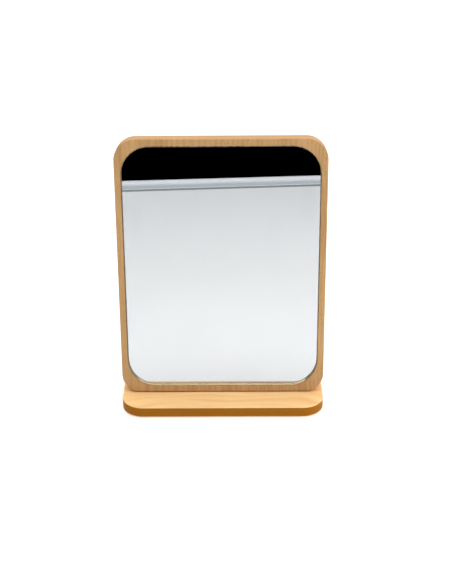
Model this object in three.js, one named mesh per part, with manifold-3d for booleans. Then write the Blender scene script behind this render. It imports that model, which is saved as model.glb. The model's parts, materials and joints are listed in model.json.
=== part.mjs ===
// A countertop mirror for trying on spectacles: an upright board with a glass mirror let into its
// face, standing on a flat base. Two friction hinges behind the board's foot let it lean back.
//
// Millimetres, +Z up, the mirror faces -Y. The origin is at the middle of the base's footprint,
// on the surface that the mirror stands on.

import * as THREE from "three";
import { mergeVertices } from "three/addons/utils/BufferGeometryUtils.js";
import Module from "manifold-3d";

const wasm = await Module();
wasm.setup();

// ---------------------------------------------------------------- driving dimensions

const LEAN = THREE.MathUtils.degToRad(7); // how far the board leans back at its forward stop

const BASE = { width: 224, depth: 100, thickness: 12, cornerRadius: 24, arris: 1.2 };
const BOARD = { width: 225, height: 289, thickness: 18, cornerRadius: 23, arris: 1.2 };
const BOARD_SETBACK = 32; // base's front edge to the front of the board's foot
const FOOT_GAP = 0.3; // hairline gap between the board's foot and the base

// The recess is cut to the glass, with `gap` all round; `rise` is how far both sit above centre.
const RECESS = { width: 211.2, height: 273.6, depth: 6, cornerRadius: 30.8, rise: 0.2 };
const GLASS = { gap: 0.3, thickness: 5, arris: 0.4 };
const TAPE = { width: 24, length: 226, count: 3, spacing: 68, gap: 0.1 };

const PAD = { radius: 8, height: 1, inset: 18 };

const HINGE = {
  centre: 62, // from the middle of the mirror to the middle of each hinge
  width: 40,
  middleKnuckle: 16,
  knuckleGap: 0.3, // end play between neighbouring knuckles
  knuckleRadius: 3.2,
  leafThickness: 1.6,
  leafReach: 24, // from the pin to the leaf's far edge
  leafCorner: 3,
  leafLift: 0.2, // between the leaf and the wood
  knuckleRise: 0.1, // the knuckle's underside stands this much above the leaf's
  screwSpacing: 24,
  screwReach: 15, // from the pin to the screws
};
const PIN = { radius: 1.5, overhang: 0.8, dome: 0.6, pressGap: 0.05 };
const SLEEVE = { wall: 0.6, clearance: 0.1 };
const SCREW = { headRadius: 2.9, shankRadius: 1.4, length: 10, tip: 2.5, clearance: 0.2 };

const ARC_STEPS = 10; // facets in a quarter circle of an outline
const ROUND = 24; // facets round a pin, a knuckle or a bore

// ---------------------------------------------------------------- derived places

const baseTop = PAD.height + BASE.thickness;
const boardFront = -BASE.depth / 2 + BOARD_SETBACK;
const boardFootZ = baseTop + FOOT_GAP;
const leafDrop = HINGE.knuckleRadius + HINGE.knuckleRise; // from the pin to the leaf's underside
const pinOffset = leafDrop + HINGE.leafLift; // from the pin to the wood
const pinZ = baseTop + pinOffset;
// The pin in the board's own frame: `back` behind its front face, `up` above its front foot edge.
const pinInBoard = { back: BOARD.thickness + pinOffset };
pinInBoard.up = (pinZ - boardFootZ + pinInBoard.back * Math.sin(LEAN)) / Math.cos(LEAN);
const pinY = boardFront + pinInBoard.back * Math.cos(LEAN) + pinInBoard.up * Math.sin(LEAN);

// ---------------------------------------------------------------- materials

const material = (color, roughness, metalness = 0) =>
  new THREE.MeshStandardMaterial({ color, roughness, metalness });
const BEECH = material(0xd9aa72, 0.5);
const SILVERED_GLASS = material(0xe8eeee, 0.03, 1);
const FOAM_TAPE = material(0xf1f0ea, 0.9);
const NICKEL = material(0xb9b6ae, 0.32, 1);
const ZINC = material(0xc9c8c4, 0.38, 1);
const NYLON = material(0xe9e6da, 0.55);
const RUBBER = material(0x3a3835, 0.85);

// ---------------------------------------------------------------- solids

/** A closed three.js geometry as a manifold-3d solid. */
function toSolid(geometry) {
  const bare = geometry.clone();
  bare.deleteAttribute("normal");
  bare.deleteAttribute("uv");
  const merged = mergeVertices(bare, 1e-4);
  return new wasm.Manifold(
    new wasm.Mesh({
      numProp: 3,
      vertProperties: merged.attributes.position.array,
      triVerts: new Uint32Array(merged.index.array),
    }),
  );
}

/** A manifold-3d solid as a three.js geometry. */
function toGeometry(solid) {
  const mesh = solid.getMesh();
  return new THREE.BufferGeometry()
    .setAttribute("position", new THREE.BufferAttribute(mesh.vertProperties, 3))
    .setIndex(new THREE.BufferAttribute(mesh.triVerts, 1));
}

/** `geometry` with every geometry in `cutters` taken out of it. */
function cut(geometry, cutters) {
  return toGeometry(cutters.reduce((left, c) => left.subtract(toSolid(c)), toSolid(geometry)));
}

/** A rectangle with round corners, centred on X, with its lower edge at `bottom`. */
function roundedRectangle(width, height, radius, bottom) {
  const right = width / 2;
  const top = bottom + height;
  const shape = new THREE.Shape();
  shape.moveTo(-right + radius, bottom);
  shape.absarc(right - radius, bottom + radius, radius, -Math.PI / 2, 0);
  shape.absarc(right - radius, top - radius, radius, 0, Math.PI / 2);
  shape.absarc(-right + radius, top - radius, radius, Math.PI / 2, Math.PI);
  shape.absarc(-right + radius, bottom + radius, radius, Math.PI, 1.5 * Math.PI);
  return shape;
}

/** A plate with its lower face at z = 0. `arris` rounds its edges inside the outline. */
function plate(shape, thickness, arris = 0, arrisSteps = 3) {
  return new THREE.ExtrudeGeometry(shape, {
    depth: thickness - 2 * arris,
    curveSegments: ARC_STEPS,
    bevelEnabled: arris > 0,
    bevelThickness: arris,
    bevelSize: arris,
    bevelOffset: -arris,
    bevelSegments: arrisSteps,
  }).translate(0, 0, arris);
}

/** Stands a plate up in the board's frame: front face at y = `front`, the outline's Y turned to Z. */
function stand(geometry, thickness, front) {
  return geometry.rotateX(Math.PI / 2).translate(0, front + thickness, 0);
}

/** A cylinder along X. */
function rodAlongX(radius, length, centreX, y, z) {
  return new THREE.CylinderGeometry(radius, radius, length, ROUND)
    .rotateZ(Math.PI / 2)
    .translate(centreX, y, z);
}

/** A body of revolution about Z, from [radius, height] points that start and end on the axis. */
function turned(points) {
  const profile = points.map(([r, z]) => new THREE.Vector2(r, z));
  return new THREE.LatheGeometry(profile, ROUND).rotateX(Math.PI / 2);
}

/** A named mesh. */
function node(name, geometry, finish) {
  const mesh = new THREE.Mesh(geometry, finish);
  mesh.name = name;
  return mesh;
}

// ---------------------------------------------------------------- screws

/** A countersunk screw pointing down, with the flat of its head at z = 0. */
function screwGeometry() {
  const { headRadius, shankRadius, length, tip } = SCREW;
  return turned([
    [0, -length],
    [shankRadius, -length + tip],
    [shankRadius, -(headRadius - shankRadius)],
    [headRadius, 0],
    [0, 0],
  ]);
}

/** The hole that a screw leaves in a leaf and in the wood under it, a little larger all round. */
function screwHole() {
  const { headRadius, shankRadius, length, clearance } = SCREW;
  const head = headRadius + clearance;
  const shank = shankRadius + clearance;
  return turned([
    [0, -length - clearance],
    [shank, -length - clearance],
    [shank, -(head - shank)],
    [head, 0],
    [head, clearance],
    [0, clearance],
  ]);
}

const screwOffsets = [-HINGE.screwSpacing / 2, HINGE.screwSpacing / 2];
const leafFace = HINGE.leafLift + HINGE.leafThickness; // the leaf's outer face above the wood

// ---------------------------------------------------------------- hinge leaves

/**
 * A leaf with the pin along X at the origin. Its plate reaches towards +Y and lies `leafLift`
 * above the wood, which is at z = -pinOffset. `knuckles` are [start, end] along X.
 */
function leaf(knuckles, boreRadius) {
  const { width, leafThickness, leafReach, leafCorner, knuckleRadius, knuckleGap } = HINGE;
  const clearance = knuckleRadius + knuckleGap; // the plate starts clear of the other's knuckles
  const outline = roundedRectangle(width, leafReach, leafCorner, 0);
  let body = toSolid(plate(outline, leafThickness).translate(0, 0, -leafDrop)).subtract(
    toSolid(new THREE.BoxGeometry(2 * width, 2 * clearance, 2 * pinOffset)),
  );
  for (const [start, end] of knuckles) {
    const middle = (start + end) / 2;
    const tongueReach = 1.3 * clearance;
    const tongue = new THREE.BoxGeometry(end - start, tongueReach, leafThickness);
    tongue.translate(middle, tongueReach / 2, leafThickness / 2 - leafDrop);
    body = body
      .add(toSolid(rodAlongX(knuckleRadius, end - start, middle, 0, 0)))
      .add(toSolid(tongue));
  }
  body = body.subtract(toSolid(rodAlongX(boreRadius, 2 * width, 0, 0, 0)));
  for (const x of screwOffsets)
    body = body.subtract(
      toSolid(screwHole().translate(x, HINGE.screwReach, leafThickness - leafDrop)),
    );
  return toGeometry(body);
}

const halfMiddle = HINGE.middleKnuckle / 2;
const halfWidth = HINGE.width / 2;

/** The leaf on the base: a knuckle at each end, which grip the pin. */
function baseLeaf() {
  const gap = halfMiddle + HINGE.knuckleGap;
  return leaf([[-halfWidth, -gap], [gap, halfWidth]], PIN.radius + PIN.pressGap);
}

/** The leaf on the board: one middle knuckle, which turns on the sleeve. */
function boardLeaf() {
  const bore = PIN.radius + SLEEVE.wall + 2 * SLEEVE.clearance;
  return leaf([[-halfMiddle, halfMiddle]], bore);
}

/** The hinge pin, with a low dome at each end. */
function pinGeometry() {
  const half = halfWidth + PIN.overhang;
  return turned([
    [0, -half],
    [PIN.radius * 0.7, -half],
    [PIN.radius, -half + PIN.dome],
    [PIN.radius, half - PIN.dome],
    [PIN.radius * 0.7, half],
    [0, half],
  ]).rotateY(Math.PI / 2);
}

/** The friction sleeve between the pin and the middle knuckle. */
function sleeveGeometry() {
  const inner = PIN.radius + SLEEVE.clearance;
  const outer = inner + SLEEVE.wall;
  return turned([
    [inner, -halfMiddle],
    [outer, -halfMiddle],
    [outer, halfMiddle],
    [inner, halfMiddle],
    [inner, -halfMiddle],
  ]).rotateY(Math.PI / 2);
}

// ---------------------------------------------------------------- the base

/** The flat base, with a blind hole under each screw of the hinges. */
function baseBoard() {
  const outline = roundedRectangle(BASE.width, BASE.depth, BASE.cornerRadius, -BASE.depth / 2);
  const board = plate(outline, BASE.thickness, BASE.arris).translate(0, 0, PAD.height);
  const holes = [];
  for (const side of [-1, 1])
    for (const x of screwOffsets)
      holes.push(
        screwHole().translate(side * HINGE.centre + x, pinY + HINGE.screwReach, baseTop + leafFace),
      );
  return cut(board, holes);
}

/** The four non-slip pads under the base's corners. */
function footPads() {
  const x = BASE.width / 2 - PAD.inset;
  const y = BASE.depth / 2 - PAD.inset;
  const places = {
    foot_pad_front_left: [-x, -y],
    foot_pad_front_right: [x, -y],
    foot_pad_back_left: [-x, y],
    foot_pad_back_right: [x, y],
  };
  return Object.entries(places).map(([name, [px, py]]) => {
    const pad = turned([[0, 0], [PAD.radius, 0], [PAD.radius, PAD.height], [0, PAD.height]]);
    return node(name, pad.translate(px, py, 0), RUBBER);
  });
}

// ---------------------------------------------------------------- the board and its mirror

/** The upright board: a recess for the glass, screw holes, and a crisp foot, level with the base. */
function mirrorBoard() {
  const { width, height, thickness, cornerRadius, arris } = BOARD;
  const blank = roundedRectangle(width, height + arris, cornerRadius, -arris);
  const board = stand(plate(blank, thickness, arris), thickness, 0);
  const recessBottom = (height - RECESS.height) / 2 + RECESS.rise;
  const recess = stand(
    plate(
      roundedRectangle(RECESS.width, RECESS.height, RECESS.cornerRadius, recessBottom),
      RECESS.depth + 1,
    ),
    RECESS.depth + 1,
    -1,
  );
  const wedge = new THREE.BoxGeometry(width + 2, 3 * thickness, thickness)
    .translate(0, 0, -thickness / 2)
    .rotateX(LEAN);
  const holes = [];
  for (const side of [-1, 1])
    for (const x of screwOffsets)
      holes.push(
        screwHole()
          .rotateX(-Math.PI / 2)
          .translate(
            side * HINGE.centre + x,
            thickness + leafFace,
            pinInBoard.up + HINGE.screwReach,
          ),
      );
  return cut(board, [recess, wedge, ...holes]);
}

/** The mirror glass, its front edge ground to a narrow arris, flush with the board's face. */
function mirrorGlass() {
  const { gap, thickness, arris } = GLASS;
  const width = RECESS.width - 2 * gap;
  const height = RECESS.height - 2 * gap;
  const bottom = (BOARD.height - height) / 2 + RECESS.rise;
  const outline = roundedRectangle(width, height, RECESS.cornerRadius - gap, bottom);
  return stand(plate(outline, thickness, arris, 1), thickness, 0);
}

/** One strip of double-sided foam tape between the glass and the recess's floor. */
function tapeStrip(centreX) {
  const thickness = RECESS.depth - GLASS.thickness - 2 * TAPE.gap;
  const bottom = (BOARD.height - TAPE.length) / 2;
  const outline = roundedRectangle(TAPE.width, TAPE.length, 1, bottom);
  return stand(plate(outline, thickness), thickness, GLASS.thickness + TAPE.gap).translate(
    centreX,
    0,
    0,
  );
}

// ---------------------------------------------------------------- assembly

const mirror = new THREE.Group();
const sides = { left: -1, right: 1 };

mirror.add(node("base_board", baseBoard(), BEECH), ...footPads());

// Everything on the board stands in its own frame, which leans back with it.
const leaning = new THREE.Group();
leaning.position.set(0, boardFront, boardFootZ);
leaning.rotation.x = -LEAN;
mirror.add(leaning);

leaning.add(
  node("mirror_board", mirrorBoard(), BEECH),
  node("mirror_glass", mirrorGlass(), SILVERED_GLASS),
);
for (let i = 0; i < TAPE.count; i++) {
  const centreX = (i - (TAPE.count - 1) / 2) * TAPE.spacing;
  leaning.add(node(`mounting_tape_${i + 1}`, tapeStrip(centreX), FOAM_TAPE));
}

for (const [side, sign] of Object.entries(sides)) {
  const x = sign * HINGE.centre;

  const lower = node(`hinge_base_leaf_${side}`, baseLeaf(), NICKEL);
  lower.position.set(x, pinY, pinZ);
  const pin = node(`hinge_pin_${side}`, pinGeometry(), NICKEL);
  pin.position.copy(lower.position);
  mirror.add(lower, pin);

  const upper = node(`hinge_board_leaf_${side}`, boardLeaf(), NICKEL);
  upper.position.set(x, pinInBoard.back, pinInBoard.up);
  upper.rotation.set(-Math.PI / 2, 0, Math.PI); // its reach turned up, its wood side forward
  const sleeve = node(`hinge_friction_sleeve_${side}`, sleeveGeometry(), NYLON);
  sleeve.position.copy(upper.position);
  leaning.add(upper, sleeve);

  screwOffsets.forEach((offset, i) => {
    const lowerScrew = node(`base_leaf_screw_${side}_${i + 1}`, screwGeometry(), ZINC);
    lowerScrew.position.set(x + offset, pinY + HINGE.screwReach, baseTop + leafFace);
    mirror.add(lowerScrew);

    const upperScrew = node(`board_leaf_screw_${side}_${i + 1}`, screwGeometry(), ZINC);
    upperScrew.position.set(
      x + offset,
      BOARD.thickness + leafFace,
      pinInBoard.up + HINGE.screwReach,
    );
    upperScrew.rotation.x = -Math.PI / 2;
    leaning.add(upperScrew);
  });
}

export default mirror;
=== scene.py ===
"""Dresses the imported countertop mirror: lacquered wood, silvered glass, hinges, screws and foot pads.

Lengths are metres, and a name that ends in _mm is in millimetres. The row frame is the CAD's: +Z up,
the mirror faces -Y, and the origin is under the middle of the base.
"""

import json
import logging
import math
from collections.abc import Callable, Iterator
from contextlib import contextmanager
from dataclasses import dataclass, replace
from enum import Enum

import bmesh
import bpy
from mathutils import Matrix, Vector


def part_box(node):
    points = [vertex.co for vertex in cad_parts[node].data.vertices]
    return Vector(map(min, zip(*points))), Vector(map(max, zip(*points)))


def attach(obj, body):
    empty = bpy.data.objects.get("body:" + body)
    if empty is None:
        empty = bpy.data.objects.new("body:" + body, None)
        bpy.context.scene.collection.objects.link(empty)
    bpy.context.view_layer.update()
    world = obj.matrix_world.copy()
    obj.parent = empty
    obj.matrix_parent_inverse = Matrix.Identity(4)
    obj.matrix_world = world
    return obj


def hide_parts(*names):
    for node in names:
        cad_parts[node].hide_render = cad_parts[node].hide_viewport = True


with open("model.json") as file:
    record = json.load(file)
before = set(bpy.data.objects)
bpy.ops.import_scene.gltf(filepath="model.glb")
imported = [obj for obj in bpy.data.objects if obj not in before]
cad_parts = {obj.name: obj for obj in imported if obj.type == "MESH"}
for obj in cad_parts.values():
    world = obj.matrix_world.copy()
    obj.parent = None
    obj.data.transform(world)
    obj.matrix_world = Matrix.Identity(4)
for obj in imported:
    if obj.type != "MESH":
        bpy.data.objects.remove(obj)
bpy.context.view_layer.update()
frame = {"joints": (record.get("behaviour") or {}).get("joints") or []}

log = logging.getLogger("countertop_mirror")

MM = 0.001
SAME_POINT = 1e-7  # points nearer to each other than this are one
SQUARE_ON = 0.99999  # a face this close to an axis, as a cosine, is flat
UP = Vector((0, 0, 1))
HERE = Matrix.Identity(4)
Colour = tuple[float, float, float]
Piece = bpy.types.Object
Material = bpy.types.Material


# ---- node trees


def operator(operation: str, swapped: bool = False) -> Callable[..., "Wire"]:
    """Makes a method of Wire that adds a Math node.

    Args:
        operation: what the node does.
        swapped: whether self is the last operand and not the first.

    Returns:
        The method. It takes the other operands.
    """

    def method(self: "Wire", *others: "Wire | float") -> "Wire":
        """Adds the node and returns its result."""
        operands = (*others, self) if swapped else (self, *others)
        return self.graph.add("ShaderNodeMath", {"operation": operation}, dict(enumerate(operands)))

    return method


class Wire:
    """A socket that can be used in arithmetic: each operator adds the Math node that it stands for."""

    def __init__(self, graph: "Graph", socket: bpy.types.NodeSocket) -> None:
        """Wraps `socket`, which belongs to `graph`."""
        self.graph = graph
        self.socket = socket

    __add__ = operator("ADD")
    __radd__ = operator("ADD", swapped=True)
    __sub__ = operator("SUBTRACT")
    __rsub__ = operator("SUBTRACT", swapped=True)
    __mul__ = operator("MULTIPLY")
    __rmul__ = operator("MULTIPLY", swapped=True)
    __truediv__ = operator("DIVIDE")
    __mod__ = operator("FLOORED_MODULO")  # never negative
    __gt__ = operator("GREATER_THAN")
    __lt__ = operator("LESS_THAN")
    floor = operator("FLOOR")
    root = operator("SQRT")
    sin = operator("SINE")
    cos = operator("COSINE")
    sign = operator("SIGN")
    least = operator("MINIMUM")
    most = operator("MAXIMUM")

    def rise(self, low: float, high: float) -> "Wire":
        """0 below `low`, 1 above `high`, and a smooth step between them."""
        return self.graph.add(
            "ShaderNodeMapRange",
            {"interpolation_type": "SMOOTHSTEP"},
            {"Value": self, "From Min": low, "From Max": high},
        )


class Graph:
    """A shader or geometry node tree while it is being written."""

    def __init__(self, tree: bpy.types.NodeTree) -> None:
        """Starts on an empty `tree`."""
        self.tree = tree

    def node(self, kind: str, settings: dict | None = None, sockets: dict | None = None) -> bpy.types.Node:
        """Adds one node.

        Args:
            kind: the node's type, such as "ShaderNodeMath".
            settings: the node's own properties, set before its sockets. "stops" fills a colour ramp.
            sockets: a value or a Wire for each input, by name or number.

        Returns:
            The node.
        """
        made = self.tree.nodes.new(kind)
        for name, value in (settings or {}).items():
            if name == "stops":
                self._fill_ramp(made.color_ramp, value)
            else:
                setattr(made, name, value)
        for key, value in (sockets or {}).items():
            socket = made.inputs[key]
            if isinstance(value, Wire):
                self.tree.links.new(value.socket, socket)
            else:
                socket.default_value = value
        return made

    def add(self, kind: str, settings: dict | None = None, sockets: dict | None = None,
            output: str | int = 0) -> Wire:
        """Adds one node, as node() does, and returns a Wire from its output named `output`."""
        return Wire(self, self.node(kind, settings, sockets).outputs[output])

    @staticmethod
    def _fill_ramp(ramp: bpy.types.ColorRamp, stops: list[tuple[float, Colour]]) -> None:
        """Gives a colour ramp its stops."""
        while len(ramp.elements) < len(stops):
            ramp.elements.new(0.5)
        for element, (place, colour) in zip(ramp.elements, stops):
            element.position = place
            element.color = (*colour, 1)

    def split(self, vector: Wire) -> tuple[Wire, Wire, Wire]:
        """The three parts of a vector."""
        made = self.node("ShaderNodeSeparateXYZ", {}, {0: vector})
        return tuple(Wire(self, made.outputs[i]) for i in range(3))

    def vector(self, x: Wire | float, y: Wire | float, z: Wire | float) -> Wire:
        """A vector from its three parts."""
        return self.add("ShaderNodeCombineXYZ", {}, {0: x, 1: y, 2: z})

    def scaled(self, vector: Wire, factor: Wire | float) -> Wire:
        """A vector times a number."""
        return self.add("ShaderNodeVectorMath", {"operation": "SCALE"}, {0: vector, "Scale": factor})

    def noise(self, point: Wire, detail: float = 2, roughness: float = 0.5) -> Wire:
        """Smooth noise round 0.5, one lump to each unit of `point`."""
        sockets = {"Vector": point, "Scale": 1, "Detail": detail, "Roughness": roughness}
        return self.add("ShaderNodeTexNoise", {}, sockets)

    def ramp(self, factor: Wire, stops: list[tuple[float, Colour]]) -> Wire:
        """The colour that `stops` give at `factor`."""
        return self.add("ShaderNodeValToRGB", {"stops": stops}, {0: factor})

    def blend(self, factor: Wire | float, a: Wire | Colour, b: Wire | Colour, how: str = "MIX") -> Wire:
        """Mixes two colours.

        Args:
            factor: 0 for `a`, 1 for `b`.
            a: the first colour.
            b: the second colour.
            how: how they are mixed.

        Returns:
            The colour.
        """
        colours = [c if isinstance(c, Wire) else (*c, 1) for c in (a, b)]
        made = self.node("ShaderNodeMix", {"data_type": "RGBA", "blend_type": how},
                         {0: factor, 6: colours[0], 7: colours[1]})
        return Wire(self, made.outputs[2])


class Surface(Graph):
    """A material's node tree, with a Principled shader at its end."""

    def __init__(self, name: str, **uniform: float | Colour) -> None:
        """Makes the material.

        Args:
            name: its name.
            uniform: shader sockets that are the same all over, by name.
        """
        self.material = bpy.data.materials.new(name)
        self.material.use_nodes = True
        super().__init__(self.material.node_tree)
        self.shader = next(n for n in self.tree.nodes if n.type == "BSDF_PRINCIPLED")
        for key, value in uniform.items():
            self.shader.inputs[key.replace("_", " ")].default_value = value

    def place(self, to_pattern: Matrix) -> Wire:
        """The point being shaded, in a pattern's own frame.

        Args:
            to_pattern: from the row frame to the pattern's: a turn, a shift and a scale.

        Returns:
            The point.
        """
        shift, turn, scale = to_pattern.decompose()
        coordinates = self.add("ShaderNodeTexCoord", output="Object")
        return self.add("ShaderNodeMapping", {"vector_type": "POINT"}, {
            "Vector": coordinates, "Location": shift, "Rotation": turn.to_euler(), "Scale": scale})

    def place_mm(self) -> Wire:
        """The point being shaded, in millimetres."""
        return self.place(Matrix.Scale(1 / MM, 4))

    def drive(self, socket: str, wire: Wire) -> None:
        """Feeds one of the shader's sockets."""
        self.tree.links.new(wire.socket, self.shader.inputs[socket])

    def bump(self, height: Wire, depth: float, strength: float = 1) -> None:
        """Gives the surface a relief of `depth` metres."""
        sockets = {"Height": height, "Distance": depth, "Strength": strength}
        self.drive("Normal", self.add("ShaderNodeBump", {}, sockets))


class Grower:
    """A Geometry Nodes tree with named inputs, which makes plain meshes."""

    KINDS = {float: "NodeSocketFloat", int: "NodeSocketInt", Vector: "NodeSocketVector",
             Material: "NodeSocketMaterial"}

    def __init__(self, name: str, inputs: dict[str, type]) -> None:
        """Starts a tree.

        Args:
            name: the tree's name.
            inputs: the type of each named input: float, int, Vector or Material.
        """
        self.tree = bpy.data.node_groups.new(name, "GeometryNodeTree")
        face = self.tree.interface
        face.new_socket("Geometry", in_out="INPUT", socket_type="NodeSocketGeometry")
        face.new_socket("Geometry", in_out="OUTPUT", socket_type="NodeSocketGeometry")
        for key, kind in inputs.items():
            face.new_socket(key, in_out="INPUT", socket_type=self.KINDS[kind])
        self.graph = Graph(self.tree)
        self._entry = self.graph.node("NodeGroupInput")

    def __getitem__(self, key: str) -> Wire:
        """The input named `key`."""
        return Wire(self.graph, self._entry.outputs[key])

    def end(self, geometry: Wire) -> None:
        """Ends the tree in Realize Instances and Set Material.

        Args:
            geometry: what the tree has made.
        """
        real = self.graph.add("GeometryNodeRealizeInstances", {}, {0: geometry})
        dressed = self.graph.add("GeometryNodeSetMaterial", {},
                                 {"Geometry": real, "Material": self["Material"]})
        self.graph.node("NodeGroupOutput", {}, {0: dressed})

    def grow(self, name: str, values: dict[str, float | int | Material],
             seed: bpy.types.Mesh | None = None) -> Piece:
        """Runs the tree.

        Args:
            name: the new object's name.
            values: a value for each named input.
            seed: the mesh that the tree starts from, if it needs one.

        Returns:
            An object with the result as a plain mesh.
        """
        made = new_object(name, seed)
        modifier = made.modifiers.new(self.tree.name, "NODES")
        modifier.node_group = self.tree
        for item in self.tree.interface.items_tree:
            if item.in_out == "INPUT" and item.name in values:
                modifier[item.identifier] = values[item.name]
        return bake_modifiers(made)


# ---- mesh helpers


def new_object(name: str, mesh: bpy.types.Mesh | None = None) -> Piece:
    """Puts a new object in the scene.

    Args:
        name: its name.
        mesh: what it shows; an empty mesh of its own if left out.

    Returns:
        The object.
    """
    made = bpy.data.objects.new(name, mesh or bpy.data.meshes.new(name))
    bpy.context.scene.collection.objects.link(made)
    return made


@contextmanager
def reshaped(piece: Piece) -> Iterator[bmesh.types.BMesh]:
    """Opens a mesh for changes, and writes them back when the block ends.

    Args:
        piece: the object whose mesh changes.

    Returns:
        The open mesh, for the block.
    """
    shape = bmesh.new()
    shape.from_mesh(piece.data)
    yield shape
    shape.to_mesh(piece.data)
    shape.free()


def face_out(shape: bmesh.types.BMesh) -> None:
    """Turns the faces of a closed mesh outwards."""
    bmesh.ops.recalc_face_normals(shape, faces=shape.faces)


def bake_modifiers(piece: Piece) -> Piece:
    """Turns what a piece's modifiers give into its plain mesh.

    Args:
        piece: the object.

    Returns:
        The same object, without its modifiers.
    """
    evaluated = piece.evaluated_get(bpy.context.evaluated_depsgraph_get())
    mesh = bpy.data.meshes.new_from_object(evaluated)
    piece.modifiers.clear()
    piece.data = mesh
    mesh.name = piece.name
    return piece


def cut(piece: Piece, cutter: Piece, how: str = "DIFFERENCE") -> Piece:
    """Takes one piece out of another, or joins it on.

    Args:
        piece: the object that changes.
        cutter: the other object, which is removed.
        how: the Boolean modifier's operation.

    Returns:
        The changed object.
    """
    modifier = piece.modifiers.new(how, "BOOLEAN")
    modifier.operation = how
    modifier.solver = "EXACT"
    modifier.object = cutter
    bake_modifiers(piece)
    bpy.data.objects.remove(cutter)
    return piece


def plane_off(piece: Piece, at: Vector, outward: Vector) -> Piece:
    """Takes off what lies beyond a plane, and closes the cut.

    Args:
        piece: the object, a closed mesh.
        at: a point of the plane.
        outward: the plane's normal, towards the part that goes.

    Returns:
        The same object.
    """
    with reshaped(piece) as shape:
        everything = shape.verts[:] + shape.edges[:] + shape.faces[:]
        found = bmesh.ops.bisect_plane(
            shape, geom=everything, plane_co=at, plane_no=outward, clear_outer=True)
        rim = [edge for edge in found["geom_cut"] if isinstance(edge, bmesh.types.BMEdge)]
        bmesh.ops.edgenet_fill(shape, edges=rim)
        face_out(shape)
    return piece


def ease_edges(piece: Piece, width: float, sharper_than: float = math.radians(40)) -> None:
    """Rounds a mesh's sharp edges, as tumbling does.

    Args:
        piece: the object.
        width: how far the rounding reaches from the edge.
        sharper_than: edges that turn by less than this are left.
    """
    modifier = piece.modifiers.new("eased", "BEVEL")
    modifier.width = width
    modifier.segments = 2
    modifier.limit_method = "ANGLE"
    modifier.angle_limit = sharper_than
    bake_modifiers(piece)


def prism(name: str, outline: list[tuple[float, float]], start: float, end: float) -> Piece:
    """A closed body with one section all along X.

    Args:
        name: the object's name.
        outline: the section's (y, z) points, in order.
        start: where it starts along X.
        end: where it ends.

    Returns:
        The object.
    """
    made = new_object(name)
    with reshaped(made) as shape:
        face = shape.faces.new([shape.verts.new((start, y, z)) for y, z in outline])
        swept = bmesh.ops.extrude_face_region(shape, geom=[face])
        moved = [item for item in swept["geom"] if isinstance(item, bmesh.types.BMVert)]
        bmesh.ops.translate(shape, verts=moved, vec=(end - start, 0, 0))
        face_out(shape)
    return made


def turned(name: str, profile: list[tuple[float, float]], steps: int, at: Matrix = HERE) -> Piece:
    """A body of revolution about its own Z.

    Args:
        name: the object's name.
        profile: (radius, height) points that start on the axis, or a closed ring of them.
        steps: faces round the axis.
        at: where the body goes.

    Returns:
        The object.
    """
    made = new_object(name)
    with reshaped(made) as shape:
        ring = [shape.verts.new((radius, 0, height)) for radius, height in profile]
        edges = [shape.edges.new(pair) for pair in zip(ring, ring[1:])]
        if profile[0][0] > 0:
            edges.append(shape.edges.new((ring[-1], ring[0])))
        bmesh.ops.spin(shape, geom=ring + edges, cent=(0, 0, 0), axis=UP, angle=math.tau, steps=steps)
        bmesh.ops.remove_doubles(shape, verts=shape.verts, dist=SAME_POINT)
        face_out(shape)
        shape.transform(at)
    return made


def set_shading(piece: Piece, flat_axes: Matrix = HERE, crease: float = math.radians(35)) -> None:
    """Shades a mesh's flat faces flat and its curved ones smooth.

    Args:
        piece: the object.
        flat_axes: a face that points along one of this frame's axes counts as flat.
        crease: edges that turn by more than this stay sharp.
    """
    turn = flat_axes.to_3x3().normalized().transposed()
    with reshaped(piece) as shape:
        for face in shape.faces:
            face.smooth = max(abs(part) for part in turn @ face.normal) < SQUARE_ON
        for edge in shape.edges:
            edge.smooth = edge.calc_face_angle(0) < crease


def gather(piece: Piece, other: Piece) -> None:
    """Adds the mesh of `other` to `piece`, as a separate shell, and removes `other`."""
    with reshaped(piece) as shape:
        shape.from_mesh(other.data)
    bpy.data.objects.remove(other)


def dress(piece: Piece, *finishes: Material) -> Piece:
    """Gives a piece its materials.

    Args:
        piece: the object. Each face keeps the number of its slot.
        finishes: the materials, in slot order.

    Returns:
        The same object.
    """
    slots = [face.material_index for face in piece.data.polygons]
    piece.data.materials.clear()
    for finish in finishes:
        piece.data.materials.append(finish)
    piece.data.polygons.foreach_set("material_index", slots)
    return piece


def stand_for(piece: Piece, body: "Body", slot: str, *nodes: str) -> None:
    """Hands over a finished piece.

    Args:
        piece: the object.
        body: the body that it rides on.
        slot: its slot's name; not used.
        nodes: the CAD nodes that it replaces.
    """
    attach(piece, body.value)
    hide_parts(*nodes)
    log.info("%s rides on %s for %s", piece.name, body.value, ", ".join(nodes))


# ---- places


SIDES = {"left": -1, "right": 1}


class Body(Enum):
    """The two bodies that the tilting joint joins."""

    BASE = "base"
    PANEL = "mirror_panel"


LEAVES = {Body.BASE: "base_leaf", Body.PANEL: "board_leaf"}


@dataclass(frozen=True)
class Tilt:
    """The tilting joint: its pins, and how the boards lie about them at rest."""

    pin: Vector
    lean: float = math.radians(7)
    pin_offset: float = 3.5 * MM
    board_thickness: float = 18 * MM

    def board_place(self) -> Matrix:
        """From the upright board's own frame to the row frame.

        Returns:
            The place of a frame with its origin at the front edge of the board's foot, its Z up the
            board and its Y from the mirror's face to the board's back.
        """
        back = self.board_thickness + self.pin_offset
        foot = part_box("mirror_board")[0].z
        up = (self.pin.z - foot + back * math.sin(self.lean)) / math.cos(self.lean)
        turn = Matrix.Rotation(-self.lean, 4, "X")
        return Matrix.Translation(self.pin) @ turn @ Matrix.Translation((0, -back, -up))


# ---- finishes


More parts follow.
